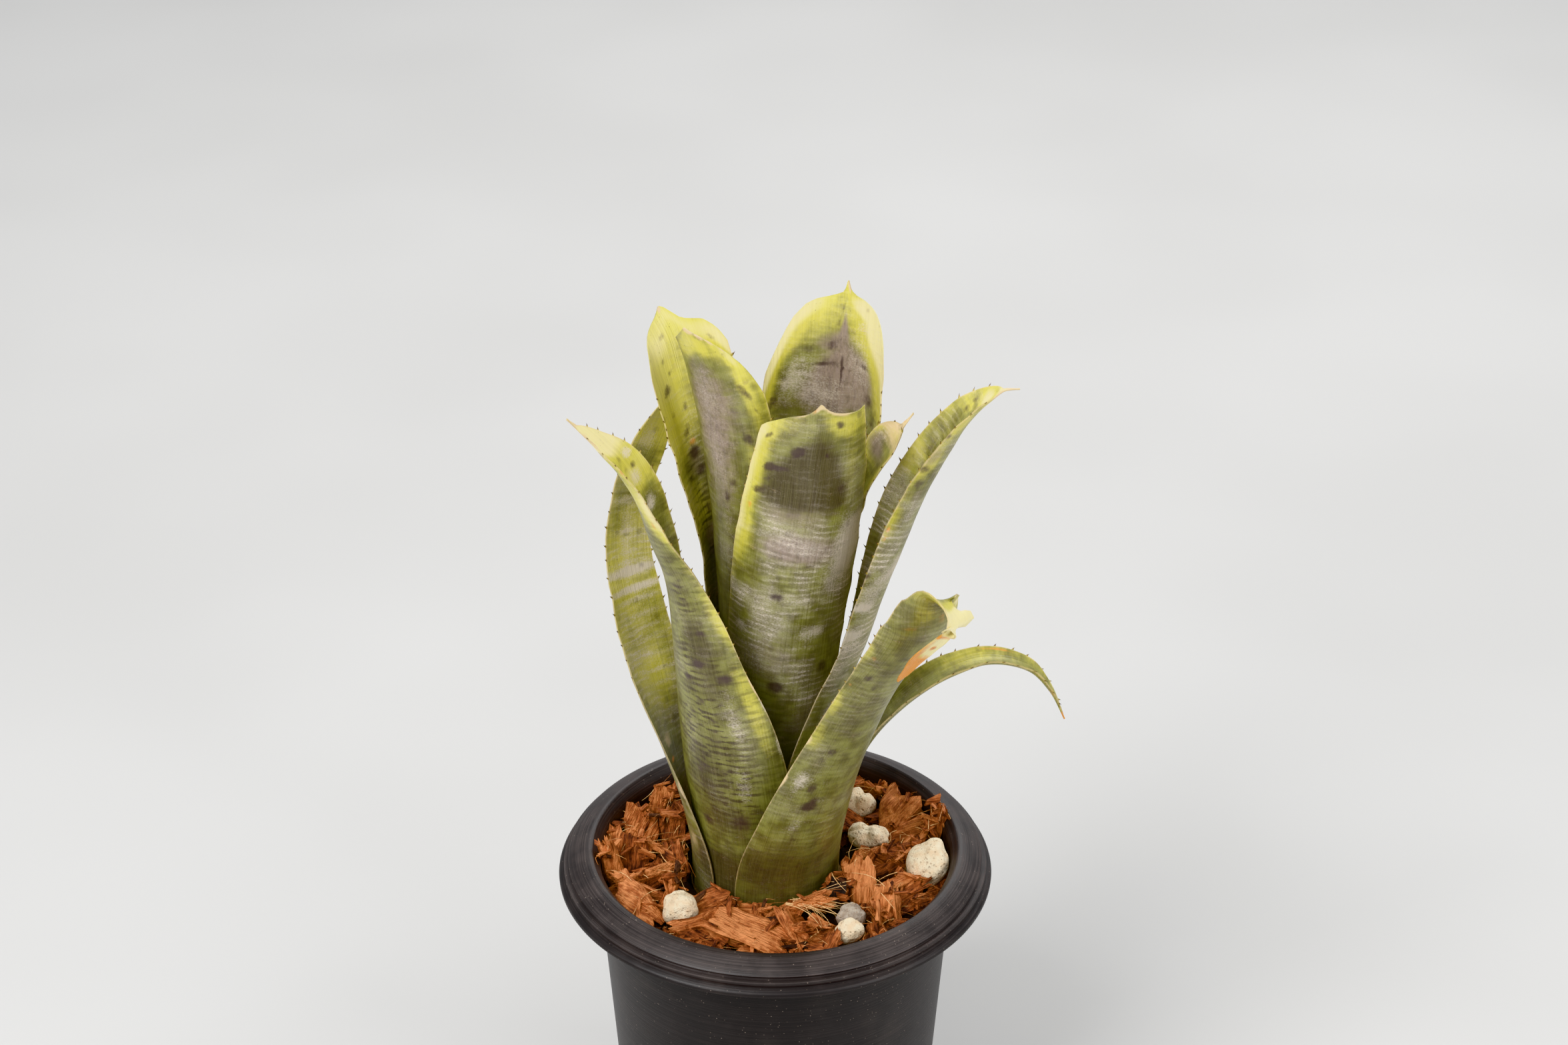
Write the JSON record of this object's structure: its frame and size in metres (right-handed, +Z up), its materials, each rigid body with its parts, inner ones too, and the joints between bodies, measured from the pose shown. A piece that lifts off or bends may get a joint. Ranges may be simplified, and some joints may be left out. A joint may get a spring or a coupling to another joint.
{
  "type": "potted bromeliad",
  "caption": "Tubular bromeliad with broad channelled spiny leaves, in a round nursery pot filled with coarse husk chips and a few pumice pebbles.",
  "frame": {"origin": "centre of the pot's underside", "axes": "+Z up along the pot's axis, -Y towards the viewer, +X to the viewer's right"},
  "size_m": [0.1518, 0.13, 0.2871],
  "materials": {
    "pot_plastic": "satin charcoal",
    "husk": "raw fibrous",
    "pumice": "rough",
    "leaf": "satin living leaf with silvery scurf",
    "stem": "matt"
  },
  "bodies": {
    "root": {"pot": "pot_plastic", "husk_medium": "husk", "stump": "stem", "pebble_1": "pumice", "pebble_2": "pumice", "pebble_3": "pumice", "pebble_4": "pumice", "pebble_5": "pumice", "pebble_6": "pumice", "leaf_front_right": "leaf", "leaf_left": "leaf", "leaf_front_left": "leaf", "leaf_low_right": "leaf", "leaf_right": "leaf", "leaf_back_left": "leaf", "leaf_back": "leaf", "leaf_front": "leaf", "leaf_mid_left": "leaf", "leaf_heart": "leaf"}
  },
  "joints": []
}
